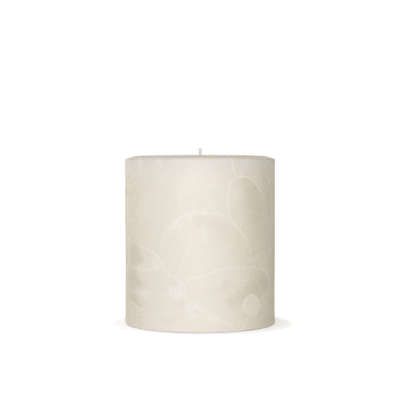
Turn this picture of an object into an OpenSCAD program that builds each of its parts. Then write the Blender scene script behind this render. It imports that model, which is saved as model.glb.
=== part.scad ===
// Pillar candle: a hard crystallised wax shell round a softer burning core.
// The origin is the centre of the base, +Z is up and the front faces -Y.
// Lengths are in millimetres.

/* [Pillar] */
// Outside diameter of the candle
candle_d = 101.6; // [90:0.1:130]
// Height from the table to the lip of the top rim
candle_h = 113.5; // [80:0.5:160]
// Wall thickness of the crystallised shell
shell_wall = 8; // [6:0.1:10]
// Radius of the rounded bottom edge
base_round = 1.2; // [0.5:0.1:2.5]

/* [Top rim] */
// Height of the sloping shoulder round the top
shoulder_h = 2.35; // [1:0.05:4]
// Width of the shoulder's steeper outer edge
shoulder_edge_w = 1.8; // [1:0.1:3]
// Height of the shoulder's steeper outer edge
shoulder_edge_h = 0.95; // [0.6:0.05:0.95]
// Width of the flat lip between the shoulder and the core
lip_w = 0.7; // [0.3:0.1:1.5]
// Side of the square notch that the mould's joint leaves under the shoulder
witness_side = 0.5; // [0.2:0.05:0.8]

/* [Core] */
// Drop from the lip to the core's outer edge
core_drop = 0.3; // [0.1:0.1:0.8]
// Depth of the shallow dish round the wick, below the core's outer edge
dish_depth = 0.4; // [0.1:0.1:1]
// Radius of the flat middle of the dish
dish_flat_r = 14; // [8:1:25]
// Height of the wax that climbs the wick
collar_h = 0.9; // [0.3:0.1:1.5]
// Spread of the wax that climbs the wick
collar_w = 1.3; // [0.5:0.1:3]

/* [Wick] */
// Diameter of the braided wick
wick_d = 2.5; // [2:0.1:4]
// Diameter of the stiffening thread inside the braid
thread_d = 0.9; // [0.5:0.1:1.2]
// Length of wick that stands clear of the dish
wick_clear = 6; // [4:0.1:15]

/* [Base] */
// Diameter of the recess in the base, which is the mouth of the second pour
recess_d = 64; // [40:1:70]
// Depth of the recess
recess_h = 1; // [0.5:0.1:2]
// Height of the second pour
plug_h = 26; // [12:1:40]
// Diameter of the second pour at its top
plug_top_d = 14; // [8:1:24]
// Diameter of the round paper label
label_d = 54; // [26:1:60]
// Thickness of the label
label_t = 0.15; // [0.1:0.05:0.3]

/* [Wick tab] */
// Diameter of the metal tab
tab_d = 20; // [12:1:24]
// Sheet thickness of the tab and its neck
tab_t = 0.3; // [0.2:0.05:0.5]
// Height of the neck crimped round the wick
neck_h = 6; // [3:0.5:10]

/* [Wax seal] */
// Diameter of the round seal
seal_d = 15.4; // [8:0.1:24]
// Thickness of the seal
seal_t = 0.8; // [0.4:0.1:1.5]
// Height of the seal's centre above the table
seal_z = 16.3; // [14:0.1:60]
// Turn of the seal from the front towards +X, in degrees
seal_turn = 41.5; // [0:0.5:359]

/* [Hidden] */
$fn = 96;

candle_r = candle_d / 2;
core_r = candle_r - shell_wall;
shoulder_r = core_r + lip_w;
shoulder_z = candle_h - shoulder_h;

core_edge_z = candle_h - core_drop;
dish_z = core_edge_z - dish_depth;

wick_r = wick_d / 2;
thread_r = thread_d / 2;
wick_top_z = dish_z + wick_clear;

recess_r = recess_d / 2;
plug_top_r = plug_top_d / 2;
plug_top_z = recess_h + plug_h;

tab_r = tab_d / 2;
neck_r = wick_r + tab_t;
tab_top_z = recess_h + tab_t;
neck_top_z = tab_top_z + neck_h;

seal_r = seal_d / 2;

// A straight length of tube or rod on the candle's axis, from one height to another
module axial_tube(outer_r, inner_r, from_z, to_z) {
    translate([0, 0, from_z])
        difference() {
            cylinder(r = outer_r, h = to_z - from_z);
            translate([0, 0, -1]) cylinder(r = inner_r, h = to_z - from_z + 2);
        }
}

// Half section of the shell: side wall, sloping shoulder, lip and rounded bottom edge
module shell_section() {
    difference() {
        union() {
            polygon([
                [core_r, 0],
                [candle_r - base_round, 0],
                [candle_r, base_round],
                [candle_r, shoulder_z],
                [candle_r - shoulder_edge_w, shoulder_z + shoulder_edge_h],
                [shoulder_r, candle_h],
                [core_r, candle_h]
            ]);
            translate([candle_r - base_round, base_round]) circle(r = base_round);
        }
        translate([candle_r, shoulder_z - witness_side])
            rotate(45) square(witness_side, center = true);
    }
}

// Hard outer wax, poured first against the mould's wall and drained
module crystal_shell() {
    color("ivory")
        rotate_extrude() shell_section();
}

// Soft burning wax that fills the shell, with the dish on top and the well underneath
module core_fill() {
    color("linen")
        rotate_extrude()
            polygon([
                [wick_r, plug_top_z],
                [plug_top_r, plug_top_z],
                [recess_r, recess_h],
                [recess_r, 0],
                [core_r, 0],
                [core_r, core_edge_z],
                [dish_flat_r, dish_z],
                [wick_r + collar_w, dish_z],
                [wick_r, dish_z + collar_h]
            ]);
}

// Second pour that fills the well left by shrinkage, cast round the wick tab
module base_plug() {
    color("seashell")
        rotate_extrude()
            polygon([
                [tab_r, recess_h],
                [recess_r, recess_h],
                [plug_top_r, plug_top_z],
                [wick_r, plug_top_z],
                [wick_r, neck_top_z],
                [neck_r, neck_top_z],
                [neck_r, tab_top_z],
                [tab_r, tab_top_z]
            ]);
}

// Braided cotton sleeve of the wick, from the tab to the trimmed tip
module wick_braid() {
    color("antiquewhite")
        axial_tube(wick_r, thread_r, recess_h, wick_top_z);
}

// Stiffening thread inside the braid
module wick_core() {
    color("wheat")
        translate([0, 0, recess_h])
            cylinder(r = thread_r, h = wick_top_z - recess_h);
}

// Stamped metal tab with its neck crimped on the wick
module wick_tab() {
    color("silver")
        rotate_extrude()
            polygon([
                [wick_r, recess_h],
                [tab_r, recess_h],
                [tab_r, tab_top_z],
                [neck_r, tab_top_z],
                [neck_r, neck_top_z],
                [wick_r, neck_top_z]
            ]);
}

// Round wax seal that hugs the side of the shell
module wax_seal() {
    color("floralwhite")
        intersection() {
            rotate([0, 0, seal_turn])
                translate([0, 0, seal_z])
                    rotate([90, 0, 0])
                        cylinder(r = seal_r, h = candle_d);
            axial_tube(candle_r + seal_t, candle_r, 0, candle_h);
        }
}

// Blank paper label stuck in the recess, over the tab and the second pour
module base_label() {
    color("white")
        translate([0, 0, recess_h - label_t])
            cylinder(d = label_d, h = label_t);
}

crystal_shell();
core_fill();
base_plug();
wick_braid();
wick_core();
wick_tab();
wax_seal();
base_label();
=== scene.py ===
import math

import bmesh
import bpy
import numpy as np
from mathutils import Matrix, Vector, noise


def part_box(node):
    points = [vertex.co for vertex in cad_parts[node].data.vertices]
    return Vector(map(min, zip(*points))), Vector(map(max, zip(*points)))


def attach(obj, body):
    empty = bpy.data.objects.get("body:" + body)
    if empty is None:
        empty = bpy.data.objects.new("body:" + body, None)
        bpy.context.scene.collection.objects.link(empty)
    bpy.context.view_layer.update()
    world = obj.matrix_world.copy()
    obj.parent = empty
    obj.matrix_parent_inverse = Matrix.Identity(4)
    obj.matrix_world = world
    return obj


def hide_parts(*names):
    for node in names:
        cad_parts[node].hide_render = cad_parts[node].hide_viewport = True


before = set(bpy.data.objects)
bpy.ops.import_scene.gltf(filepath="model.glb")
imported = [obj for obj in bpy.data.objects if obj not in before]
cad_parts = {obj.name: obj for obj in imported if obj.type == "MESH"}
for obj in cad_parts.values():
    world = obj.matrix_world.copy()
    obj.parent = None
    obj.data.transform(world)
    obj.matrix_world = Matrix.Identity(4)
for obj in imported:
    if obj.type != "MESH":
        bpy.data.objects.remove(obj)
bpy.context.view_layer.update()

mm = 0.001

# Every radius and height below comes from the frame's own boxes
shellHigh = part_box("crystal_shell")[1]
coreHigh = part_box("core_fill")[1]
plugLow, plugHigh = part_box("base_plug")
wickLow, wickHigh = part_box("wick_braid")
threadLow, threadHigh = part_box("wick_core")
tabLow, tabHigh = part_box("wick_tab")
sealLow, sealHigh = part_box("wax_seal")
labelLow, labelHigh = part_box("base_label")

candleRadius = shellHigh.x
coreRadius = round(coreHigh.x, 4)
topHeight = shellHigh.z
recessRadius = plugHigh.x
recessHeight = plugLow.z
wickRadius = wickHigh.x
print("frame read: radius", round(candleRadius / mm, 1), "mm, height", round(topHeight / mm, 1), "mm")


def clearSelection():
    if bpy.context.object and bpy.context.object.mode != "OBJECT":
        bpy.ops.object.mode_set(mode="OBJECT")
    bpy.ops.object.select_all(action="DESELECT")


def pickOnly(obj):
    clearSelection()
    bpy.context.view_layer.objects.active = obj
    obj.select_set(True)


def openMesh(obj):
    pickOnly(obj)
    bpy.ops.object.mode_set(mode="EDIT")


def closeMesh():
    bpy.ops.object.mode_set(mode="OBJECT")


def nameIt(name):
    obj = bpy.context.object
    obj.name = name
    obj.data.name = name
    return obj


def pickEdges(obj, test):
    # leaves selected, in edit mode, the edges whose two ends pass the test
    bpy.ops.mesh.select_mode(type="EDGE")
    bpy.ops.mesh.select_all(action="DESELECT")
    shape = bmesh.from_edit_mesh(obj.data)
    for edge in shape.edges:
        if test(edge.verts[0].co, edge.verts[1].co):
            edge.select_set(True)
    bmesh.update_edit_mesh(obj.data)


def turnOnAxis(name, outline, steps, cuts=()):
    # draws an outline of (radius, height) points, cuts some of its edges finer and spins it round Z
    clearSelection()
    bpy.ops.mesh.primitive_plane_add(size=mm, location=(outline[0][0], 0, outline[0][1]))
    obj = nameIt(name)
    bpy.ops.object.transform_apply(location=True, rotation=True, scale=True)
    openMesh(obj)
    bpy.ops.mesh.select_all(action="SELECT")
    bpy.ops.mesh.merge(type="CENTER")
    for (r0, z0), (r1, z1) in zip(outline, outline[1:]):
        bpy.ops.mesh.extrude_region_move(TRANSFORM_OT_translate={"value": (r1 - r0, 0, z1 - z0)})
    for low, high, count in cuts:
        middle = ((low[0] + high[0]) / 2, (low[1] + high[1]) / 2)
        pickEdges(obj, lambda a, b: math.dist(((a.x + b.x) / 2, (a.z + b.z) / 2), middle) < 0.01 * mm)
        bpy.ops.mesh.subdivide(number_cuts=count)
    bpy.ops.mesh.select_mode(type="VERT")
    bpy.ops.mesh.select_all(action="SELECT")
    bpy.ops.mesh.spin(steps=steps, angle=math.tau, center=(0, 0, 0), axis=(0, 0, 1))
    bpy.ops.mesh.select_all(action="SELECT")
    bpy.ops.mesh.remove_doubles(threshold=0.002 * mm)
    bpy.ops.mesh.normals_make_consistent(inside=False)
    if bmesh.from_edit_mesh(obj.data).calc_volume(signed=True) < 0:
        bpy.ops.mesh.flip_normals()      # a thin rim can turn the whole shape inside out
    closeMesh()
    return obj


def arcPoints(centre, radius, fromAngle, toAngle, count):
    step = (toAngle - fromAngle) / count
    return [(centre[0] + radius * math.cos(math.radians(fromAngle + step * i)),
             centre[1] + radius * math.sin(math.radians(fromAngle + step * i))) for i in range(count + 1)]


def readPoints(obj):
    points = np.empty(len(obj.data.vertices) * 3)
    obj.data.vertices.foreach_get("co", points)
    return points.reshape(-1, 3)


def writePoints(obj, points):
    obj.data.vertices.foreach_set("co", points.ravel())
    obj.data.update()


def waveAt(points, pace, layer):
    # slow noise over X and Y for every point, with layer to tell one piece's noise from another's
    return np.array([noise.noise(Vector((x * pace, y * pace, layer))) for x, y, *rest in points])


def smoothAll(obj, angle):
    pickOnly(obj)
    bpy.ops.object.shade_smooth_by_angle(angle=math.radians(angle))


def finishPiece(obj, node, material):
    obj.data.materials.clear()
    obj.data.materials.append(material)
    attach(obj, "root")
    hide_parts(node)
    print("made", obj.name, "with", len(obj.data.polygons), "faces")
    return obj


def addNode(tree, kind, inputs=None, **settings):
    node = tree.nodes.new(kind)
    node.location = (180 * (len(tree.nodes) % 12), -220 * (len(tree.nodes) // 12))
    for name, value in settings.items():
        setattr(node, name, value)
    for key, value in (inputs or {}).items():
        if isinstance(value, bpy.types.NodeSocket):
            tree.links.new(value, node.inputs[key])
        else:
            node.inputs[key].default_value = value
    return node


def calc(tree, operation, a, b=0.0, c=0.0):
    return addNode(tree, "ShaderNodeMath", {0: a, 1: b, 2: c}, operation=operation).outputs[0]


def times(tree, a, b):
    return calc(tree, "MULTIPLY", a, b)


def vectorCalc(tree, operation, a, b=(0, 0, 0)):
    node = addNode(tree, "ShaderNodeVectorMath", {0: a, 1: b}, operation=operation)
    return node.outputs["Value" if operation in ("LENGTH", "DOT_PRODUCT", "DISTANCE") else "Vector"]


def fade(tree, value, low, high, toLow=0.0, toHigh=1.0):
    return addNode(tree, "ShaderNodeMapRange", {"Value": value, "From Min": low, "From Max": high,
                   "To Min": toLow, "To Max": toHigh}, interpolation_type="SMOOTHSTEP").outputs["Result"]


def axisDistance(tree, place):
    return vectorCalc(tree, "LENGTH", vectorCalc(tree, "MULTIPLY", place, (1, 1, 0)))


def scaleVector(tree, vector, factor):
    return addNode(tree, "ShaderNodeVectorMath", {0: vector, "Scale": factor}, operation="SCALE").outputs[0]


def nearRun(tree, fromStart, run, axis):
    # how far along a run a place lies, from 0 to 1, and its distance from the run
    along = vectorCalc(tree, "DOT_PRODUCT", fromStart, axis)
    along = addNode(tree, "ShaderNodeClamp", {"Value": along}).outputs[0]
    return along, vectorCalc(tree, "DISTANCE", fromStart, scaleVector(tree, run, along))


def mixValue(tree, factor, a, b):
    return addNode(tree, "ShaderNodeMix", {0: factor, 2: a, 3: b}, data_type="FLOAT").outputs[0]


def mixColour(tree, factor, a, b):
    return addNode(tree, "ShaderNodeMix", {0: factor, 6: a, 7: b}, data_type="RGBA").outputs[2]


def mixVector(tree, factor, a, b):
    return addNode(tree, "ShaderNodeMix", {0: factor, 4: a, 5: b}, data_type="VECTOR").outputs[1]


def noiseAt(tree, vector, scale, detail=2.0, roughness=0.5, distortion=0.0):
    return addNode(tree, "ShaderNodeTexNoise", {"Vector": vector, "Scale": scale, "Detail": detail,
                   "Roughness": roughness, "Distortion": distortion}).outputs["Fac"]


def wireShader(tree, shader, colour, rough, height, strength, depth):
    # strength and depth are the bump's, with depth in metres
    bump = addNode(tree, "ShaderNodeBump", {"Strength": strength, "Distance": depth, "Height": height})
    for value, label in ((colour, "Base Color"), (rough, "Roughness"), (bump.outputs[0], "Normal")):
        tree.links.new(value, shader.inputs[label])


def newGroup(name, inputs, outputs):
    # inputs and outputs are lists of (name, kind, value), with kind Float, Vector or Color
    tree = bpy.data.node_groups.new(name, "ShaderNodeTree")
    for side, sockets in (("INPUT", inputs), ("OUTPUT", outputs)):
        for label, kind, *value in sockets:
            socket = tree.interface.new_socket(name=label, in_out=side, socket_type="NodeSocket" + kind)
            if value and side == "INPUT":
                socket.default_value = value[0]
    return tree, addNode(tree, "NodeGroupInput").outputs, addNode(tree, "NodeGroupOutput").inputs


def useGroup(tree, group, **inputs):
    node = addNode(tree, "ShaderNodeGroup", node_tree=group)
    for label, value in inputs.items():
        socket = node.inputs[label]
        if isinstance(value, bpy.types.NodeSocket):
            tree.links.new(value, socket)
        else:
            socket.default_value = value
    return node.outputs


def linkOut(tree, take, **values):
    for label, value in values.items():
        tree.links.new(value, take[label])


def newMaterial(name, shaderValues):
    material = bpy.data.materials.new(name)
    material.use_nodes = True
    tree = material.node_tree
    shader = tree.nodes["Principled BSDF"]
    for label, value in shaderValues.items():
        shader.inputs[label].default_value = value
    place = addNode(tree, "ShaderNodeTexCoord").outputs["Object"]
    scale = (1 / mm, 1 / mm, 1 / mm)
    millimetres = addNode(tree, "ShaderNodeMapping", {"Vector": place, "Scale": scale}).outputs[0]
    return material, tree, shader, millimetres


# Each cell starts at a seed on the wall and spreads until it meets its neighbours. Places on the wall
# are (turn from the front in degrees, + to the right; height in mm). A row holds the seed, how many mm
# of growth the cell is behind the first one, how slowly it climbs, and its dark fan: the two places it
# runs between, its width in mm at the far end and its depth of tone at each end.
crystals = [
    ((-17, 121), 0, 1.15, (-25, 112), (-10, 80), 16, (0.1, 0.1)),
    ((-2, 71), 43.5, 1.45, (6, 72), (42, 48), 24, (0.42, 0.3)),
    ((31, 94.5), 37.5, 1.2, (37, 104), (54, 62), 29, (1.05, 0.48)),
    ((38, 130), 12, 1.05, (52, 108), (66, 70), 15, (0.7, 0.52)),
    ((-50, 48), 70, 1.45, (-50, 46), (-58, 48), 16, (0.85, 1.05)),
    ((-50, 29), 68.5, 1.3, (-51, 31), (-60, 32), 14.5, (0.85, 1.0)),
    ((-49, 18), 68, 1.1, (-51, 15), (-62, 17), 15, (0.8, 0.85)),
    ((18, 29.5), 74.5, 1.45, (23, 20), (72, 34), 25, (0.6, 1.1)),
    ((-51, 5), 51.5, 2.2, (-50, 4), (-60, 6), 5, (0.35, 0.35)),
    ((62, 6), 89, 1.15, (62, 7), (78, 14), 6, (0.4, 0.4)),
    ((-32, 110), 16.5, 1.15, (-34, 105), (-40, 80), 5, (0.15, 0.15)),
    # from here on, round the back
    ((112, 120), 14, 1.05, (112, 104), (106, 84), 17, (0.18, 0.32)),
    ((110, 60), 58, 1.2, (110, 59), (92, 50), 19, (0.36, 0.64)),
    ((116, 24), 74, 1.3, (116, 24), (96, 30), 15, (0.41, 0.72)),
    ((133, 86), 41, 1.1, (133, 85), (145, 62), 19, (0.36, 0.64)),
    ((158, 122), 3, 1.05, (160, 108), (170, 90), 17, (0.09, 0.16)),
    ((152, 47), 60, 1.3, (152, 46), (170, 36), 17, (0.41, 0.72)),
    ((176, 18), 75, 1.4, (177, 18), (195, 24), 15, (0.43, 0.76)),
    ((193, 76), 43, 1.2, (192, 75), (172, 60), 20, (0.32, 0.56)),
    ((214, 119), 13, 1.05, (214, 105), (226, 96), 15, (0.14, 0.24)),
    ((221, 38), 65, 1.3, (222, 37), (240, 30), 15, (0.41, 0.72)),
    ((243, 88), 42, 1.1, (243, 86), (256, 66), 19, (0.36, 0.64)),
    ((249, 12), 77, 1.2, (249, 12), (238, 20), 12, (0.32, 0.56)),
    ((266, 56), 62, 1.3, (267, 55), (280, 44), 17, (0.41, 0.72)),
]


def onWall(turn, height):
    turn = math.radians(turn)
    return Vector((math.sin(turn), -math.cos(turn), 0)) * (candleRadius / mm) + Vector((0, 0, height))


# The seeds' fronts waver a little, by the same sines in the material and in the mesh
waver = [(0.55, 0.31, 0.4), (0.28, 0.83, 2.1)]   # size in mm, radians per mm, offset


def waverNumbers(points):
    moved = points.copy()
    for size, pace, offset in waver:
        moved = moved + size * np.sin(np.roll(points, -1, axis=1) * pace + offset)
    return moved


def crystalNumbers(points):
    # distance to the nearest seam, how squarely the cells meet there and distance from the seed, in mm
    moved = waverNumbers(points)
    best = np.full(len(points), 1e3)
    second = np.full(len(points), 1e3)
    ray = np.zeros_like(points)
    otherRay = np.zeros_like(points)
    for seed, start, tall, *fan in crystals:
        offset = moved - np.array(onWall(*seed))
        cost = np.linalg.norm(offset * (1, 1, tall), axis=1) + start
        first = (cost < best)[:, None]
        nearly = (cost < second)[:, None]
        otherRay = np.where(first, ray, np.where(nearly, offset, otherRay))
        ray = np.where(first, offset, ray)
        second = np.minimum(second, np.maximum(best, cost))
        best = np.minimum(best, cost)
    reach = np.linalg.norm(ray, axis=1)
    away = otherRay / np.maximum(np.linalg.norm(otherRay, axis=1), 1e-6)[:, None]
    square = np.linalg.norm(ray / np.maximum(reach, 1e-6)[:, None] - away, axis=1)
    return (second - best) / np.maximum(square, 0.25), square, reach


def makeCrystalStep():
    # weighs one more cell against the nearest two so far
    soFar = [("Best", "Float", 1000.0), ("Second", "Float", 1000.0), ("Ray", "Vector"),
             ("OtherRay", "Vector"), ("Tone", "Float")]
    tree, give, take = newGroup("crystalStep", [
        ("Position", "Vector"), ("Seed", "Vector"), ("Start", "Float"), ("Tall", "Float", 1.0),
        ("FanStart", "Vector"), ("FanRun", "Vector"), ("FanAxis", "Vector"), ("Width", "Float", 10.0),
        ("DepthNear", "Float"), ("DepthFar", "Float")] + soFar, soFar)
    offset = vectorCalc(tree, "SUBTRACT", give["Position"], give["Seed"])
    stretch = addNode(tree, "ShaderNodeCombineXYZ", {0: 1.0, 1: 1.0, 2: give["Tall"]}).outputs[0]
    far = vectorCalc(tree, "LENGTH", vectorCalc(tree, "MULTIPLY", offset, stretch))
    cost = calc(tree, "ADD", far, give["Start"])
    first = calc(tree, "LESS_THAN", cost, give["Best"])
    nearly = calc(tree, "LESS_THAN", cost, give["Second"])
    later = calc(tree, "MAXIMUM", cost, give["Best"])

    # the fan widens from near a third of its width to the whole of it
    fromFan = vectorCalc(tree, "SUBTRACT", give["Position"], give["FanStart"])
    along, distance = nearRun(tree, fromFan, give["FanRun"], give["FanAxis"])
    spread = times(tree, give["Width"], calc(tree, "MULTIPLY_ADD", along, 0.7, 0.3))
    aside = calc(tree, "DIVIDE", distance, spread)
    depth = mixValue(tree, along, give["DepthNear"], give["DepthFar"])
    fan = times(tree, fade(tree, aside, 1.1, 0.0), depth)

    ray = mixVector(tree, first, give["Ray"], offset)
    otherRay = mixVector(tree, first, mixVector(tree, nearly, give["OtherRay"], offset), give["Ray"])
    tone = mixValue(tree, first, give["Tone"], fan)
    linkOut(tree, take, Best=calc(tree, "MINIMUM", cost, give["Best"]),
            Second=calc(tree, "MINIMUM", later, give["Second"]), Ray=ray, OtherRay=otherRay, Tone=tone)
    return tree


def makeCrystalField():
    # the whole pattern: distance to the nearest seam, how squarely the cells meet there,
    # ray and distance from the seed, and tone of the fan
    tree, give, take = newGroup("crystalField", [("Position", "Vector")], [
        ("Gap", "Float"), ("Square", "Float"), ("Ray", "Vector"), ("Reach", "Float"), ("Tone", "Float")])
    step = makeCrystalStep()
    parts = addNode(tree, "ShaderNodeSeparateXYZ", {0: give["Position"]}).outputs
    rolled = addNode(tree, "ShaderNodeCombineXYZ", {0: parts[1], 1: parts[2], 2: parts[0]}).outputs[0]
    moved = give["Position"]
    for size, pace, offset in waver:
        phase = vectorCalc(tree, "ADD", vectorCalc(tree, "MULTIPLY", rolled, (pace,) * 3), (offset,) * 3)
        swing = vectorCalc(tree, "MULTIPLY", vectorCalc(tree, "SINE", phase), (size,) * 3)
        moved = vectorCalc(tree, "ADD", moved, swing)
    links = {}
    for seed, start, tall, fanStart, fanEnd, width, (near, far) in crystals:
        run = onWall(*fanEnd) - onWall(*fanStart)
        out = useGroup(tree, step, Position=moved, Seed=onWall(*seed), Start=start, Tall=tall,
                       FanStart=onWall(*fanStart), FanRun=run, FanAxis=run / run.length_squared,
                       Width=width, DepthNear=near, DepthFar=far, **links)
        links = {label: out[label] for label in ("Best", "Second", "Ray", "OtherRay", "Tone")}
    square = vectorCalc(tree, "DISTANCE", vectorCalc(tree, "NORMALIZE", links["Ray"]),
                        vectorCalc(tree, "NORMALIZE", links["OtherRay"]))
    gap = calc(tree, "DIVIDE", calc(tree, "SUBTRACT", links["Second"], links["Best"]),
               calc(tree, "MAXIMUM", square, 0.25))
    reach = vectorCalc(tree, "LENGTH", links["Ray"])
    linkOut(tree, take, Gap=gap, Square=square, Ray=links["Ray"], Reach=reach, Tone=links["Tone"])
    return tree


def makeWaxGrain():
    # fine mottling, clouds and height that every wax on the candle shares
    tree, give, take = newGroup("waxGrain", [("Position", "Vector"), ("Size", "Float", 1.0)],
                                [("Mottle", "Float"), ("Cloud", "Float"), ("Height", "Float")])
    scaled = scaleVector(tree, give["Position"], calc(tree, "DIVIDE", 1.0, give["Size"]))
    linkOut(tree, take, Mottle=noiseAt(tree, scaled, 0.62, 3.0, 0.6, 0.7),
            Cloud=noiseAt(tree, scaled, 0.07, 3.0, 0.55, 0.6),
            Height=noiseAt(tree, scaled, 0.85, 1.0, 0.5, 0.8))
    return tree


# The wax of the shell
shellLook = {
    "ivory": (0.832, 0.78, 0.702, 1),
    "cream": (0.893, 0.828, 0.717, 1),
    "pale": (0.93, 0.885, 0.81, 1),
    "frost": (0.95, 0.915, 0.885, 1),
    "shade": (0.70, 0.625, 0.515, 1),
    "haze": (0.76, 0.728, 0.685, 1),
    "gritAndSideShade": 0.72,            # depth of the dark grains on the sides and back, painted shade of the grain under grazing light
    "seamWidth": 1.1,        # mm each side
    "frostWidth": 2.8,
    "hazeFrom": 96,          # mm above the table
    "roughness": 0.5,
    "bump": 1.0,
    "bumpDepth": 0.58 * mm,
    "smoothTurn": -9.5,      # degrees from the front, middle of the smooth part that faces the key light, where the painted grain shade of the sides fades out
    "smoothGrain": 0.27,     # share of the grain's height that the smooth front keeps
    # how strongly each mark shows, from 0 to 1
    "fan": 0.85, "hollow": 0.25, "hazeDepth": 0.8, "band": 0.29, "line": 0.27, "patch": 0.12,
    "freckle": 0.85, "needle": 0.4,
}

# where the wax is freckled: turn, height and radius in mm, share of the crystals that are white
freckles = [(-18, 25, 9, 1.2), (-6, 17, 8, 0.9), (-33, 44, 8, 1.0), (6, 103, 9, 0.12), (13, 33, 9, 0.35),
            (6, 8, 9, 0.4), (-45, 23, 9, 0.6), (-15, 70, 7, 0.8), (-8, 74, 6, 0.8), (26, 21, 4, 0.4),
            (118, 50, 10, 0.8), (170, 30, 11, 0.8), (205, 60, 9, 0.7), (240, 24, 10, 0.9)]

# short white needles that lie bare on the wall: the places they run between and their width in mm
needles = [
    ((38, 112), (31, 100), 3.5), ((-51, 111), (-48, 97), 4.5), ((-33, 111), (-34, 103), 4.0),
    ((1.5, 67.5), (8, 49), 1.4), ((-14.5, 32), (-14, 19), 1.3), ((15, 22.8), (24, 22), 0.9),
    ((128, 60), (140, 48), 1.2), ((200, 36), (212, 52), 1.2)]


def makeShellWax(field, grain):
    look = shellLook
    material, tree, shader, place = newMaterial("crystalWax", {
        "Subsurface Weight": 0.3, "Subsurface Radius": (1.0, 0.85, 0.7), "Subsurface Scale": 0.0013,
        "IOR": 1.44})
    cell = useGroup(tree, field, Position=place)
    wax = useGroup(tree, grain, Position=place, Size=1.0)
    crumbs = fade(tree, noiseAt(tree, place, 1.05, 2.0, 0.6), 0.38, 0.62)

    # the grain's relief is coarse round the sides and back and smooth in front, facing the key light; on
    # the sides and back the dark grains and warmer tone are painted shade of that relief under grazing
    # light
    front = vectorCalc(tree, "DOT_PRODUCT", place, onWall(look["smoothTurn"], 0) / (candleRadius / mm) ** 2)
    front = calc(tree, "MULTIPLY_ADD", wax["Cloud"], 0.14, front)
    grazedSides = fade(tree, front, 1.02, 0.64)

    # a fine seam where two cells meet, in a wider band of crumbly frost, brightest where they meet head on
    stretch = noiseAt(tree, place, 0.075, 2.0, 0.5)
    headOn = fade(tree, cell["Square"], 0.45, 1.45)
    ragged = calc(tree, "MULTIPLY_ADD", crumbs, 0.8, calc(tree, "SUBTRACT", cell["Gap"], 0.3))
    line = fade(tree, ragged, look["seamWidth"], 0.05)
    clear = times(tree, headOn, fade(tree, stretch, 0.62, 0.38, 0.25, 1.0))
    line = times(tree, line, clear)
    crumbly = times(tree, headOn, fade(tree, crumbs, 0.0, 1.0, 0.45, 1.0))
    band = fade(tree, cell["Gap"], fade(tree, stretch, 0.35, 0.65, 0.9, look["frostWidth"]), 0.0)
    band = times(tree, band, crumbly)

    # feathers that run out from each seed, and the dark grainy fan on one side of it
    direction = vectorCalc(tree, "NORMALIZE", cell["Ray"])
    feather = noiseAt(tree, direction, 13.0, 3.0, 0.65)
    fan = calc(tree, "MULTIPLY_ADD", feather, 0.5, calc(tree, "MULTIPLY_ADD", crumbs, 0.22, cell["Tone"]))
    fan = times(tree, fade(tree, fan, 0.42, 1.25), fade(tree, cell["Tone"], 0.0, 0.25))
    hollow = fade(tree, cell["Reach"], 6.0, 0.5)

    # freckles of opaque crystal, thick where the list says and thin along the seams
    patch = 0.0
    for turn, height, radius, share in freckles:
        distance = vectorCalc(tree, "DISTANCE", place, onWall(turn, height))
        patch = calc(tree, "MAXIMUM", patch, fade(tree, distance, radius, 0.0, 0.0, share))
    patch = calc(tree, "MAXIMUM", patch, times(tree, band, 0.28))
    dots = addNode(tree, "ShaderNodeTexVoronoi", {"Vector": place, "Scale": 1.05}, feature="F1").outputs
    chance = addNode(tree, "ShaderNodeSeparateColor", {0: dots["Color"]}).outputs[0]
    chosen = fade(tree, calc(tree, "SUBTRACT", times(tree, patch, 0.95), chance), -0.02, 0.04)
    freckle = times(tree, fade(tree, dots["Distance"], 0.6, 0.2), chosen)

    # the needles, brightest at the end they grow from
    needle = 0.0
    for start, end, width in needles:
        fromStart = vectorCalc(tree, "SUBTRACT", place, onWall(*start))
        run = onWall(*end) - onWall(*start)
        along, distance = nearRun(tree, fromStart, run, run / run.length_squared)
        taper = fade(tree, along, 0.0, 1.0, 1.0, 0.15)
        near = times(tree, fade(tree, distance, width, 0.0), taper)
        needle = calc(tree, "MAXIMUM", needle, near)
    needle = times(tree, needle, fade(tree, crumbs, 0.0, 1.0, 0.4, 1.0))

    # haze under the top edge, where the mould was coolest
    height = addNode(tree, "ShaderNodeSeparateXYZ", {0: place}).outputs[2]
    top = topHeight / mm
    haze = fade(tree, calc(tree, "MULTIPLY_ADD", feather, 12.0, height), look["hazeFrom"] + 5, top + 5)
    haze = times(tree, haze, fade(tree, height, top - 2.0, top - 2.6, 0.25, 1.0))

    fan = times(tree, fan, fade(tree, crumbs, 1.0, 0.0, 0.5, 1.0))
    # dark grains: in the fans, and on the sides and back as painted shade of the grain where light grazes
    # it
    gritAndSideShade = calc(tree, "MULTIPLY_ADD", fan, 0.3, fade(tree, grazedSides, 0.0, 1.0, 0.04, look["gritAndSideShade"]))
    gritAndSideShade = times(tree, fade(tree, noiseAt(tree, place, 1.5, 1.0, 0.5, 0.5), 0.42, 0.6), gritAndSideShade)
    layers = [
        (times(tree, fan, look["fan"]), "shade"),
        (times(tree, hollow, look["hollow"]), "shade"),
        (fade(tree, feather, 0.45, 0.7, 0.0, 0.24), "pale"),
        (fade(tree, feather, 0.45, 0.25, 0.0, 0.1), "shade"),
        (fade(tree, wax["Mottle"], 0.3, 0.7, 0.0, 0.08), "shade"),
        (gritAndSideShade, "shade"),
        (fade(tree, wax["Cloud"], 0.35, 0.7, 0.0, 0.07), "pale"),
        (times(tree, haze, look["hazeDepth"]), "haze"),
        (times(tree, band, look["band"]), "frost"),
        (times(tree, line, look["line"]), "frost"),
        (times(tree, patch, look["patch"]), "frost"),
        (times(tree, freckle, look["freckle"]), "frost"),
        (times(tree, needle, look["needle"]), "frost"),
    ]
    # a warmer base on the sides and back, painted shade that goes with the dark grains
    colour = mixColour(tree, grazedSides, look["ivory"], look["cream"])
    for share, tint in layers:
        colour = mixColour(tree, share, colour, look[tint])

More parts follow.
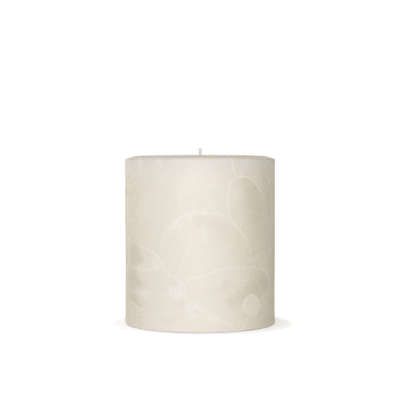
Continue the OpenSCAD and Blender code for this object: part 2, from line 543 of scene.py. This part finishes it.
    rough = calc(tree, "MULTIPLY_ADD", wax["Mottle"], 0.16, look["roughness"] - 0.08)
    rough = calc(tree, "MULTIPLY_ADD", line, 0.12, rough)
    height = times(tree, calc(tree, "MULTIPLY_ADD", feather, 0.25, wax["Height"]),
                  fade(tree, grazedSides, 0.0, 1.0, look["smoothGrain"], 1.0))
    height = calc(tree, "MULTIPLY_ADD", freckle, 0.1, height)
    wireShader(tree, shader, colour, rough, height, look["bump"], look["bumpDepth"])
    return material


def makeSoftWax(name, grain, look):
    # smooth poured wax: the core, the plug and the seal use it with their own values
    material, tree, shader, place = newMaterial(name, {
        "Subsurface Weight": 0.3, "Subsurface Radius": (1.0, 0.75, 0.5), "Subsurface Scale": 0.0025,
        "IOR": 1.44})
    wax = useGroup(tree, grain, Position=place, Size=look["grain"])
    radius = axisDistance(tree, place)
    wobble = calc(tree, "MULTIPLY_ADD", wax["Cloud"], look["ringWaver"], radius)
    ring = calc(tree, "SINE", times(tree, wobble, math.tau / look["ringGap"]))
    ring = fade(tree, ring, 0.2, 1.0)
    colour = mixColour(tree, fade(tree, wax["Cloud"], 0.3, 0.7), look["dark"], look["light"])
    colour = mixColour(tree, fade(tree, wax["Mottle"], 0.35, 0.7, 0.0, 0.3), colour, look["dark"])
    colour = mixColour(tree, times(tree, ring, look["ringDepth"]), colour, look["light"])
    rough = calc(tree, "MULTIPLY_ADD", wax["Mottle"], 0.2, look["roughness"] - 0.1)
    height = calc(tree, "MULTIPLY_ADD", ring, look["ringDepth"], wax["Height"])
    wireShader(tree, shader, colour, rough, height, look["bump"], 0.15 * mm)
    return material


crystalField = makeCrystalField()
waxGrain = makeWaxGrain()
shellWax = makeShellWax(crystalField, waxGrain)
coreWax = makeSoftWax("coreWax", waxGrain, {
    "dark": (0.87, 0.815, 0.725, 1), "light": (0.94, 0.90, 0.835, 1), "grain": 1.6, "ringWaver": 5.0,
    "ringGap": 9.0, "ringDepth": 0.15, "roughness": 0.55, "bump": 0.4})
plugWax = makeSoftWax("plugWax", waxGrain, {
    "dark": (0.74, 0.66, 0.54, 1), "light": (0.85, 0.79, 0.70, 1), "grain": 1.2, "ringWaver": 4.0,
    "ringGap": 2.6, "ringDepth": 0.5, "roughness": 0.6, "bump": 0.6})
sealWax = makeSoftWax("sealWax", waxGrain, {
    "dark": (0.87, 0.79, 0.685, 1), "light": (0.925, 0.86, 0.765, 1), "grain": 0.8, "ringWaver": 3.0,
    "ringGap": 3.0, "ringDepth": 0.05, "roughness": 0.5, "bump": 0.3})
print("wax materials made")


# The crystallised shell
shellShape = {
    "steps": 448,            # divisible by 4, so that the widest points lie on the axes
    "shoulderHeight": 2.35 * mm,
    "shoulderEdge": (1.8 * mm, 0.95 * mm),   # width and height of its steeper outer edge
    "lipWidth": 0.7 * mm,
    "notchDepth": 0.34 * mm,
    "notchHalf": 0.34 * mm,
    "notchDrop": 0.5 * mm,
    "footRound": 1.2 * mm,
    "wallCuts": 150,
    "seamDepth": 0.045,      # mm, relief of the crystals
    "seamWidth": 1.8,
    "dimple": 0.16,          # mm deep, where a crystal starts
    "dimpleReach": 6.0,
    "dents": 0.10,           # mm, slow unevenness of the wall
    "skin": 0.016,           # mm the whole wall stays inside its widest size
}


def makeShell():
    shape = shellShape
    shoulder = topHeight - shape["shoulderHeight"]
    lip = coreRadius + shape["lipWidth"]
    notch = shoulder - shape["notchDrop"]
    footRound = shape["footRound"]
    foot = arcPoints((candleRadius - footRound, footRound), footRound, 270, 360, 6)
    edgeWidth, edgeHeight = shape["shoulderEdge"]
    brow = (lip + 0.9 * mm, topHeight - 0.1 * mm)
    slope = [(candleRadius, shoulder), (candleRadius - edgeWidth * 0.42, shoulder + edgeHeight * 0.55),
             (candleRadius - edgeWidth, shoulder + edgeHeight), brow, (lip, topHeight)]
    outline = [(coreRadius, 0)] + foot
    wall = ((candleRadius, footRound), (candleRadius, notch - shape["notchHalf"]))
    outline += [wall[1], (candleRadius - shape["notchDepth"], notch)]
    outline.append((candleRadius, notch + shape["notchHalf"]))
    outline += slope + [(coreRadius, topHeight), (coreRadius, 0)]
    cuts = [(*wall, shape["wallCuts"]), (*slope[0:2], 3), (*slope[1:3], 3), (*slope[2:4], 11),
            ((coreRadius, topHeight), (coreRadius, 0), 9), ((lip, topHeight), (coreRadius, topHeight), 1)]
    shell = turnOnAxis("crystalShell", outline, shape["steps"], cuts)
    points = readPoints(shell) / mm
    radius = np.hypot(points[:, 0], points[:, 1])
    outside = radius > coreRadius / mm + 0.2
    gap, square, reach = crystalNumbers(points)
    seam = np.clip(1 - gap / shape["seamWidth"], 0, 1)
    seam = seam * seam * (3 - 2 * seam) * np.clip(square, 0, 1)
    sink = shape["seamDepth"] * (1 - seam) + shape["dimple"] * np.exp(-(reach / shape["dimpleReach"]) ** 2)
    dents = np.array([noise.noise(Vector(p) * 0.11) for p in points])
    sink += shape["skin"] + shape["dents"] * np.clip(0.5 + dents, 0, 1)
    sink[~outside] = 0
    foot = 0.2 + 0.8 * np.clip(points[:, 2] / 4, 0, 1)
    top = points[:, 2] > (shoulder / mm) + 0.05
    inward = np.where(top, sink * 0.3, sink * foot)
    scale = 1 - inward / np.maximum(radius, 1)
    points[:, :2] *= scale[:, None]
    points[:, 2] -= np.where(top & outside, sink * 0.5, 0)
    writePoints(shell, points * mm)
    smoothAll(shell, 30)
    return finishPiece(shell, "crystal_shell", shellWax)


makeShell()

# The poured core inside the shell
coreShape = {
    "steps": 192,
    "edgeDrop": 0.3 * mm,
    "edgeRound": 0.35 * mm,
    "dishDepth": 0.4 * mm,
    "flatRadius": 14 * mm,
    "collarHeight": 0.9 * mm,
    "collarSpread": 1.3 * mm,
    "plugTopRadius": 7 * mm,
    "mouthRound": 0.4 * mm,
    "ripple": 0.05,          # mm
}


def makeCore():
    shape = coreShape
    edge = topHeight - shape["edgeDrop"]
    dish = edge - shape["dishDepth"]
    edgeRound, mouthRound = shape["edgeRound"], shape["mouthRound"]
    rim = arcPoints((coreRadius - edgeRound, edge - edgeRound), edgeRound, 0, 90, 4)
    slope = (rim[-1], (shape["flatRadius"], dish))
    flat = (slope[1], (wickRadius + shape["collarSpread"], dish))
    collar = [(wickRadius + shape["collarSpread"] * (1 - t) ** 2, dish + shape["collarHeight"] * t * t)
              for t in (0.2, 0.4, 0.6, 0.8, 1.0)]
    mouth = arcPoints((recessRadius + mouthRound, mouthRound), mouthRound, 180, 270, 4)
    foot = (mouth[-1], (coreRadius - mouthRound / 2, 0))
    outline = [(wickRadius, plugHigh.z), (shape["plugTopRadius"], plugHigh.z), (recessRadius, recessHeight)]
    outline += mouth + [foot[1], (coreRadius, mouthRound / 2)] + rim + [slope[1], flat[1]] + collar
    outline.append((wickRadius, plugHigh.z))
    core = turnOnAxis("coreFill", outline, shape["steps"], cuts=[(*slope, 26), (*flat, 12), (*foot, 8)])
    points = readPoints(core) / mm
    radius = np.hypot(points[:, 0], points[:, 1])
    onTop = (points[:, 2] > (dish - 0.1 * mm) / mm) & (radius > wickRadius / mm + 0.3)
    wave = waveAt(points, 0.13, 3.7)
    ring = 0.4 * np.cos(radius * 0.9) * np.exp(-radius / 14)
    points[onTop, 2] += (shape["ripple"] * (wave + ring))[onTop]
    onFoot = (points[:, 2] < 0.05) & (radius > recessRadius / mm)
    points[onFoot, 2] += (0.04 * np.clip(0.5 + wave, 0, 1))[onFoot]
    writePoints(core, points * mm)
    smoothAll(core, 35)
    return finishPiece(core, "core_fill", coreWax)


# The second pour, in the mouth of the core
plugShape = {
    "steps": 160,
    "creep": 0.35 * mm,      # how far the wax crept down the wall of the recess
    "ringGap": 2.4,          # mm between shrink rings
    "ringDepth": 0.05,
    "sink": 0.22,            # mm by which the wax outside the label has shrunk back
}


def makePlug():
    shape = plugShape
    tabRadius = tabHigh.x
    tabTop = tabLow.z + tabShape["sheet"]
    neck = wickRadius + tabShape["sheet"]
    creep = shape["creep"]
    creep = arcPoints((recessRadius - creep, recessHeight - creep), creep, 0, 90, 4)
    face = ((tabRadius, recessHeight), creep[-1])
    outline = [(neck, tabHigh.z), (neck, tabTop), (tabRadius, tabTop), face[0]]
    outline += list(reversed(creep))
    outline += [(coreShape["plugTopRadius"], plugHigh.z), (wickRadius, plugHigh.z), (wickRadius, tabHigh.z),
                (neck, tabHigh.z)]
    plug = turnOnAxis("basePlug", outline, shape["steps"], cuts=[(*face, 40)])
    points = readPoints(plug) / mm
    radius = np.hypot(points[:, 0], points[:, 1])
    face = (np.abs(points[:, 2] - recessHeight / mm) < 0.02) & (radius > tabRadius / mm + 0.1)
    wave = waveAt(points, 0.16, 8.1)
    rings = 0.5 + 0.5 * np.sin((radius + 1.5 * wave) * math.tau / shape["ringGap"])
    outer = np.clip((radius - labelHigh.x / mm) / 1.5, 0, 1) * np.clip(recessRadius / mm - radius, 0, 1)
    points[face, 2] += (shape["ringDepth"] * rings + outer * shape["sink"] * (0.6 + wave))[face]
    writePoints(plug, points * mm)
    smoothAll(plug, 35)
    return finishPiece(plug, "base_plug", plugWax)


# The tab that holds the wick's foot
tabShape = {
    "steps": 96,
    "sheet": 0.3 * mm,
    "ribRadii": (4.6, 7.4),  # mm
    "ribHeight": 0.07,
    "crimps": 4,
    "crimpDepth": 0.12,
}


def makeTab():
    shape = tabShape
    low, high = tabLow.z, tabLow.z + shape["sheet"]
    neck = wickRadius + shape["sheet"]
    edge = arcPoints((tabHigh.x - shape["sheet"] / 2, (low + high) / 2), shape["sheet"] / 2, -90, 90, 6)
    under = ((wickRadius + 0.4 * mm, low), edge[0])
    over = (edge[-1], (neck + 0.4 * mm, high))
    bend = [(neck + 0.12 * mm, high + 0.1 * mm), (neck, high + 0.4 * mm)]
    side = (bend[-1], (neck, tabHigh.z - 0.1 * mm))
    inside = ((wickRadius, tabHigh.z), (wickRadius, low + 0.4 * mm))
    outline = [under[0]] + edge + [over[1]] + bend + [side[1], (neck - 0.1 * mm, tabHigh.z)]
    outline += [inside[0], inside[1], (wickRadius + 0.12 * mm, low + 0.1 * mm), under[0]]
    cuts = [(*under, 30), (*over, 30), (*side, 10), (*inside, 10)]
    tab = turnOnAxis("wickTab", outline, shape["steps"], cuts)
    points = readPoints(tab) / mm
    radius = np.hypot(points[:, 0], points[:, 1])
    turn = np.arctan2(points[:, 1], points[:, 0])
    flat = points[:, 2] < (high / mm) + 0.05
    for rib in shape["ribRadii"]:
        points[flat, 2] += (shape["ribHeight"] * np.exp(-((radius - rib) / 0.45) ** 2))[flat]
    middle = (high + tabHigh.z) / 2 / mm
    bite = np.clip(np.cos(turn * shape["crimps"]), 0, 1) ** 3
    bite = bite * np.exp(-((points[:, 2] - middle) / 1.3) ** 2)
    outside = ~flat & (radius > wickRadius / mm + 0.1)
    scale = 1 - shape["crimpDepth"] * bite * outside / np.maximum(radius, 0.1)
    points[:, :2] *= scale[:, None]
    writePoints(tab, points * mm)
    smoothAll(tab, 40)
    return finishPiece(tab, "wick_tab", tinplate)


def makeTinplate():
    material, tree, shader, place = newMaterial("tinplate", {"Metallic": 1.0})
    radius = axisDistance(tree, place)
    lathe = addNode(tree, "ShaderNodeTexNoise", {"W": times(tree, radius, 14.0), "Scale": 1.0,
                    "Detail": 3.0}, noise_dimensions="1D").outputs["Fac"]
    spangle = addNode(tree, "ShaderNodeTexVoronoi", {"Vector": place, "Scale": 0.6}, feature="F1")
    spangle = addNode(tree, "ShaderNodeSeparateColor", {0: spangle.outputs["Color"]}).outputs[0]
    tone = calc(tree, "MULTIPLY_ADD", spangle, 0.5, times(tree, lathe, 0.5))
    colour = mixColour(tree, tone, (0.58, 0.57, 0.55, 1), (0.78, 0.77, 0.75, 1))
    wireShader(tree, shader, colour, fade(tree, tone, 0.2, 0.8, 0.22, 0.42), lathe, 0.3, 0.03 * mm)
    return material


tinplate = makeTinplate()
makeCore()
makePlug()
makeTab()

# The wick, its thread and the frayed tip
wickShape = {
    "strands": 4,            # each way round
    "strandRadius": 0.26,    # mm
    "weave": 0.2,            # how far a strand dips under and over
    "turnLength": 7.0,       # mm of wick for one turn of a strand
    "stepsPerTurn": 18,
    "flare": 0.3,            # spread of the cut tip, as a share of the radius
    "flareLength": 2.4,
    "waist": 0.08,           # how much narrower it is half way up its free length
    "plies": 3,
    "plyRadius": 0.17,
    "plyTurn": 3.2,
    "fibres": 26,
}


def makeTubes(name, paths, radius, resolution):
    # paths are lists of (x, y, z, thickness) in mm, each a tube with closed ends
    curve = bpy.data.curves.new(name, "CURVE")
    curve.dimensions = "3D"
    curve.bevel_depth = radius * mm
    curve.bevel_resolution = resolution
    curve.use_fill_caps = True
    for path in paths:
        spline = curve.splines.new("POLY")
        spline.points.add(len(path) - 1)
        for point, (x, y, z, thickness) in zip(spline.points, path):
            point.co = (x * mm, y * mm, z * mm, 1)
            point.radius = thickness
    tubes = bpy.data.objects.new(name, curve)
    bpy.context.scene.collection.objects.link(tubes)
    pickOnly(tubes)
    bpy.ops.object.convert(target="MESH")
    openMesh(tubes)
    bpy.ops.mesh.select_all(action="SELECT")
    bpy.ops.mesh.remove_doubles(threshold=0.0005 * mm)
    bpy.ops.mesh.normals_make_consistent(inside=False)
    closeMesh()
    return tubes


def flareAt(height, top):
    # how wide the wick is near its cut tip, as a share of its width
    t = max(0, 1 - (top - height) / wickShape["flareLength"])
    waist = wickShape["waist"] * math.exp(-((top - height - 2.6) / 1.3) ** 2)
    return 1 + wickShape["flare"] * t * t - waist


def makeBraid():
    shape = wickShape
    middle = wickRadius / mm - shape["strandRadius"] - shape["weave"]
    bottom, top = wickLow.z / mm, wickHigh.z / mm
    paths = []
    for way in (1, -1):
        for index in range(shape["strands"]):
            end = top - 0.22 - 0.22 * ((index * 5 + (way + 1)) % 7) / 7
            count = round((end - bottom) / shape["turnLength"] * shape["stepsPerTurn"])
            path = []
            for i in range(count + 1):
                height = bottom + (end - bottom) * i / count
                angle = height / shape["turnLength"] * math.tau
                dip = way * shape["weave"] * math.cos(shape["strands"] * angle)
                out = (middle + dip) * flareAt(height, top)
                turn = way * angle + index * math.tau / shape["strands"]
                thickness = 1 + 0.12 * (flareAt(height, top) - 1)
                path.append((out * math.cos(turn), out * math.sin(turn), height, thickness))
            paths.append(path)
    braid = makeTubes("wickBraid", paths, shape["strandRadius"], 2)
    fibrePaths = []
    for i in range(shape["fibres"]):
        turn = i * 2.4
        root = Vector((math.cos(turn), math.sin(turn), 0)) * (0.35 + 0.8 * ((i * 7) % 11) / 11)
        lean = 0.25 * math.sin(i * 1.7)
        length = 0.25 + 0.3 * ((i * 5) % 9) / 9
        start = top - 0.15 - length
        path = []
        for t in (0, 0.33, 0.66, 1):
            out = 1 + lean * t * t
            path.append((root.x * out, root.y * out, start + (length + 0.1) * t, 1 - 0.7 * t))
        fibrePaths.append(path)
    fibres = makeTubes("wickFibres", fibrePaths, 0.025, 0)
    pickOnly(braid)
    fibres.select_set(True)
    bpy.ops.object.join()
    smoothAll(braid, 60)
    return finishPiece(braid, "wick_braid", cotton)


def makeThread():
    shape = wickShape
    bottom, top = threadLow.z / mm, threadHigh.z / mm - 0.12
    out = shape["plyRadius"]
    paths = []
    for index in range(shape["plies"]):
        count = round((top - bottom) / shape["plyTurn"] * 10)
        path = []
        for i in range(count + 1):
            height = bottom + (top - bottom) * i / count
            turn = height / shape["plyTurn"] * math.tau + index * math.tau / shape["plies"]
            path.append((out * math.cos(turn), out * math.sin(turn), height, 1))
        paths.append(path)
    thread = makeTubes("wickCore", paths, out, 1)
    smoothAll(thread, 60)
    return finishPiece(thread, "wick_core", stiffThread)


def makeCotton(name, look):
    material, tree, shader, place = newMaterial(name, {
        "Subsurface Weight": 0.25, "Subsurface Radius": (1.0, 0.8, 0.6), "Subsurface Scale": 0.0006,
        "Sheen Weight": 0.15, "Sheen Roughness": 0.5})
    along = addNode(tree, "ShaderNodeMapping", {"Vector": place, "Scale": (9, 9, 2.2)}).outputs[0]
    fibre = noiseAt(tree, along, 1.6, 4.0, 0.65, 0.8)
    blot = noiseAt(tree, place, 0.9, 2.0, 0.5)
    height = addNode(tree, "ShaderNodeSeparateXYZ", {0: place}).outputs[2]
    level = calc(tree, "MULTIPLY_ADD", blot, 1.4, height)
    soaked = fade(tree, level, look["dryFrom"] + 1.6, look["dryFrom"] - 0.4)
    colour = mixColour(tree, fade(tree, fibre, 0.3, 0.7), look["dark"], look["light"])
    colour = mixColour(tree, times(tree, soaked, 0.6), colour, look["waxed"])
    wireShader(tree, shader, colour, fade(tree, soaked, 0.0, 1.0, 0.8, 0.45), fibre, 0.7, 0.04 * mm)
    return material


cotton = makeCotton("wickCotton", {"light": (0.95, 0.925, 0.87, 1), "dark": (0.84, 0.79, 0.70, 1),
                                   "waxed": (0.88, 0.83, 0.73, 1), "dryFrom": wickHigh.z / mm - 2.0})
stiffThread = makeCotton("wickThread", {"light": (0.93, 0.91, 0.86, 1), "dark": (0.80, 0.76, 0.68, 1),
                                        "waxed": (0.86, 0.82, 0.72, 1), "dryFrom": wickHigh.z / mm - 1.0})
makeBraid()
makeThread()

# The pressed seal on the side
sealShape = {
    "steps": 144,
    "turn": 41.5,            # degrees from the front towards the right
    "field": 0.46,           # mm, height of the pressed field
    "rimFrom": 5.5,          # mm from the seal's centre
    "rimHeight": 0.62,
    "heart": 0.15,           # mm the heart stands above the field
    "heartSize": 2.9,
    "ragged": 0.05,          # share of the radius by which the squeezed edge varies
    "beadRadius": 6.55,      # mm, the raised bead of the rim
    "beadWidth": 0.62,
    "ringRadius": 4.9,       # mm, the fine ring round the heart
    "ringWidth": 0.16,
    "ringHeight": 0.05,
}


def easeBetween(value, low, high):
    t = np.clip((value - low) / (high - low), 0, 1)
    return t * t * (3 - 2 * t)


def makeSeal():
    shape = sealShape
    radius = (sealHigh.z - sealLow.z) / 2
    height = (sealHigh.z + sealLow.z) / 2 / mm
    thick = shape["rimHeight"] * mm
    top = [(0, thick), (radius - 0.3 * mm, thick)]
    outline = top + [(radius, thick * 0.5), (radius, 0), (0, 0)]
    cuts = [(*top, 58), (*outline[2:4], 1), (*outline[3:5], 30)]
    seal = turnOnAxis("waxSeal", outline, shape["steps"], cuts)
    flat = readPoints(seal) / mm
    across, up, depth = flat[:, 0].copy(), flat[:, 1].copy(), flat[:, 2].copy()
    far = np.hypot(across, up)
    turns = np.arctan2(up, across)
    wave = np.array([noise.noise(Vector((math.cos(t), math.sin(t), 0.4)) * 1.7) for t in turns])
    edge = 1 - shape["ragged"] * (0.5 + wave)
    fine = waveAt(flat, 0.5, 5)
    # heart: a rounded implicit outline, above zero inside
    x, y = across / shape["heartSize"], up / shape["heartSize"] + 0.12
    heart = -((x * x + (y - 0.75 * np.abs(x) ** 0.9) ** 2 * 1.1) - 1)
    relief = shape["field"] + 0.02 * fine + shape["heart"] * easeBetween(heart, -0.05, 0.4)
    bead = np.exp(-((far - shape["beadRadius"]) / shape["beadWidth"]) ** 2) * (1 + 0.12 * fine)
    rim = shape["field"] + (shape["rimHeight"] - shape["field"]) * bead
    roundOff = shape["rimHeight"] * np.sqrt(np.clip(1 - ((far - 6.6) / 1.15) ** 2, 0, 1))
    rim = np.where(far > 7.0, np.minimum(rim, roundOff), rim)
    ring = shape["ringHeight"] * np.exp(-((far - shape["ringRadius"]) / shape["ringWidth"]) ** 2)
    relief = np.where(far > shape["rimFrom"], rim, relief + ring)
    upper = depth > 0.35
    depth = np.where(upper, np.minimum(relief, depth + 1), depth)
    scale = np.where(far > 3, 1 + (edge - 1) * easeBetween(far, 4.5, 7.7), 1)
    turn = math.radians(shape["turn"]) + across * scale / (candleRadius / mm)
    out = candleRadius / mm - 0.25 + depth + 0.25 * (depth > 0.02)
    points = np.stack([out * np.sin(turn), -out * np.cos(turn), height + up * scale], axis=1)
    writePoints(seal, points * mm)
    openMesh(seal)
    bpy.ops.mesh.select_all(action="SELECT")
    bpy.ops.mesh.normals_make_consistent(inside=False)
    closeMesh()
    smoothAll(seal, 50)
    return finishPiece(seal, "wax_seal", sealWax)


makeSeal()

# The label underneath
labelShape = {"steps": 128, "wrinkle": 0.03, "inkRadii": (24.2, 23.1)}   # mm


def makePaper():
    material, tree, shader, place = newMaterial("labelPaper", {"Specular IOR Level": 0.3})
    pulp = noiseAt(tree, place, 2.2, 5.0, 0.7)
    grain = addNode(tree, "ShaderNodeMapping", {
        "Vector": place, "Rotation": (0, 0, 0.6), "Scale": (5.0, 0.9, 1.0)}).outputs[0]
    fibre = noiseAt(tree, grain, 1.0, 3.0, 0.6, 1.2)
    # a wide printed ring with a thin one inside it
    radius = axisDistance(tree, place)
    outer, inner = labelShape["inkRadii"]
    wide = fade(tree, calc(tree, "ABSOLUTE", calc(tree, "SUBTRACT", radius, outer)), 0.42, 0.34)
    thin = fade(tree, calc(tree, "ABSOLUTE", calc(tree, "SUBTRACT", radius, inner)), 0.16, 0.1)
    ink = times(tree, calc(tree, "MAXIMUM", wide, thin), fade(tree, pulp, 0.2, 0.45, 0.75, 0.95))
    stain = fade(tree, noiseAt(tree, place, 0.09, 3.0, 0.5), 0.52, 0.7)
    colour = mixColour(tree, fade(tree, fibre, 0.3, 0.75), (0.90, 0.885, 0.85, 1), (0.83, 0.81, 0.76, 1))
    colour = mixColour(tree, times(tree, stain, 0.35), colour, (0.78, 0.73, 0.62, 1))
    colour = mixColour(tree, ink, colour, (0.42, 0.38, 0.33, 1))
    height = calc(tree, "MULTIPLY_ADD", fibre, 0.6, pulp)
    wireShader(tree, shader, colour, fade(tree, pulp, 0.3, 0.7, 0.7, 0.9), height, 0.4, 0.05 * mm)
    return material


def makeLabel():
    shape = labelShape
    radius, low, high = labelHigh.x, labelLow.z, labelHigh.z
    under = ((0, low + shape["wrinkle"] * mm), (radius - 0.05 * mm, low + shape["wrinkle"] * mm))
    over = ((radius, high), (0, high))
    outline = [*under, (radius, low + 0.08 * mm), *over]
    label = turnOnAxis("baseLabel", outline, shape["steps"], cuts=[(*under, 40), (*over, 12)])
    points = readPoints(label) / mm
    below = points[:, 2] < (low + high) / 2 / mm - 0.01
    wave = waveAt(points, 0.09, 1.3)
    points[below, 2] += (shape["wrinkle"] * wave)[below]
    writePoints(label, points * mm)
    smoothAll(label, 40)
    return finishPiece(label, "base_label", labelPaper)


labelPaper = makePaper()
makeLabel()

# Floor, lights and world, with places in metres and turns in degrees from the front
stageLook = {
    "floorSize": 12.0, "floorTone": (0.765, 0.80, 0.88), "floorGlow": 0.8, "contactShadowReach": 0.021,
    "keyTurn": -4.8, "keyHeight": 0.25, "keyDistance": 1.3, "keySize": 0.7, "keyPower": 11.95,
    "keyColour": (0.865, 0.89, 0.97),
    "leftRim": 3.3, "leftRimTurn": -127, "rightRim": 0.35, "rightRimTurn": 125,
    "rimHeight": 0.3, "rimDistance": 1.0, "rimSize": 0.8, "rimColour": (0.93, 0.97, 1.0),
    "ambient": 0.715, "overhead": 0.26, "ambientColour": (1.0, 0.92, 0.72),
}


def makeFloor():
    clearSelection()
    bpy.ops.mesh.primitive_plane_add(size=stageLook["floorSize"], location=(0, 0, 0))
    floor = nameIt("floor")
    material = bpy.data.materials.new("paleFloor")
    material.use_nodes = True
    tree = material.node_tree
    shader = tree.nodes["Principled BSDF"]
    shader.inputs["Base Color"].default_value = (*stageLook["floorTone"], 1)
    shader.inputs["Roughness"].default_value = 0.9
    shader.inputs["Specular IOR Level"].default_value = 0.0
    camera = addNode(tree, "ShaderNodeLightPath").outputs["Is Camera Ray"]
    shader.inputs["Emission Color"].default_value = (1, 1, 1, 1)
    reach = stageLook["contactShadowReach"]
    # the glow that the camera sees dims near the candle by occlusion: a painted contact shadow on the floor
    contactShadowAO = addNode(tree, "ShaderNodeAmbientOcclusion", {"Distance": reach}).outputs["AO"]
    clear = calc(tree, "MAXIMUM", calc(tree, "MULTIPLY_ADD", contactShadowAO, 2.0, -1.0), 0.0)
    clear = calc(tree, "POWER", clear, 3.0)
    glowWithContactShadow = times(tree, calc(tree, "MULTIPLY_ADD", clear, 0.46, 0.54), stageLook["floorGlow"])
    tree.links.new(times(tree, camera, glowWithContactShadow), shader.inputs["Emission Strength"])
    floor.data.materials.append(material)


def makeLight(name, turn, height, distance, size, power, colour):
    turn = math.radians(turn)
    place = Vector((math.sin(turn) * distance, -math.cos(turn) * distance, height))
    data = bpy.data.lights.new(name, "AREA")
    data.size = size
    data.energy = power
    data.color = colour
    light = bpy.data.objects.new(name, data)
    light.location = place
    light.rotation_euler = (Vector((0, 0, topHeight * 0.5)) - place).to_track_quat("-Z", "Y").to_euler()
    bpy.context.scene.collection.objects.link(light)


def makeWorld():
    world = bpy.data.worlds.new("studio")
    bpy.context.scene.world = world
    world.use_nodes = True
    tree = world.node_tree
    path = addNode(tree, "ShaderNodeLightPath").outputs
    white = calc(tree, "MAXIMUM", path["Is Camera Ray"], path["Is Glossy Ray"])
    backdrop = tree.nodes["Background"].inputs
    colour = mixColour(tree, white, (*stageLook["ambientColour"], 1), (1, 1, 1, 1))
    tree.links.new(colour, backdrop["Color"])
    direction = addNode(tree, "ShaderNodeTexCoord").outputs["Generated"]
    up = addNode(tree, "ShaderNodeSeparateXYZ", {0: direction}).outputs[2]
    sky = fade(tree, up, 0.0, 0.9, stageLook["ambient"], stageLook["overhead"])
    tree.links.new(mixValue(tree, white, sky, 1.02), backdrop["Strength"])


# turn to the right and tilt down are in degrees
cameraLook = {"lens": 95.45, "distance": 0.749, "eyeHeight": 0.1005, "turn": 0.41, "tilt": 1.70}


def makeCamera():
    data = bpy.data.cameras.new("camera")
    data.lens = cameraLook["lens"]
    data.sensor_width = 36
    data.clip_start = 0.01
    camera = bpy.data.objects.new("camera", data)
    camera.location = (0, -cameraLook["distance"], cameraLook["eyeHeight"])
    camera.rotation_euler = (math.radians(90 - cameraLook["tilt"]), 0, -math.radians(cameraLook["turn"]))
    bpy.context.scene.collection.objects.link(camera)
    bpy.context.scene.camera = camera


makeFloor()
makeWorld()
makeLight("key", stageLook["keyTurn"], stageLook["keyHeight"], stageLook["keyDistance"],
          stageLook["keySize"], stageLook["keyPower"], stageLook["keyColour"])
for side in ("leftRim", "rightRim"):
    makeLight(side, stageLook[side + "Turn"], stageLook["rimHeight"], stageLook["rimDistance"],
              stageLook["rimSize"], stageLook[side], stageLook["rimColour"])
makeCamera()
bpy.context.scene.view_settings.view_transform = "Standard"
print("floor, light and camera placed")
